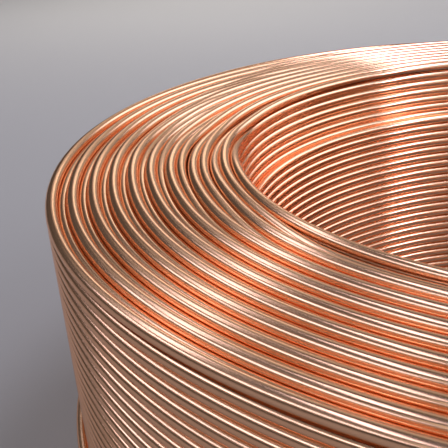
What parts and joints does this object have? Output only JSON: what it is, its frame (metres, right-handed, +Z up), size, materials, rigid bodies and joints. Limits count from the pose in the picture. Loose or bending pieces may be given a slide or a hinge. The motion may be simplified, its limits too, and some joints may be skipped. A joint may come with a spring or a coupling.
{
  "type": "copper tube coil",
  "caption": "Bare copper tube in a level-wound coil of nested layers around an open bore, standing on one end.",
  "frame": {"origin": "middle of the rings the coil stands on, on the floor", "axes": "+Z up along the coil's axis, towards the end with the two ledges"},
  "size_m": [0.969, 0.969, 0.3065],
  "materials": {
    "copper": "bright bare copper, smooth drawn"
  },
  "bodies": {
    "root": {"tube_coil": "copper"}
  },
  "joints": []
}
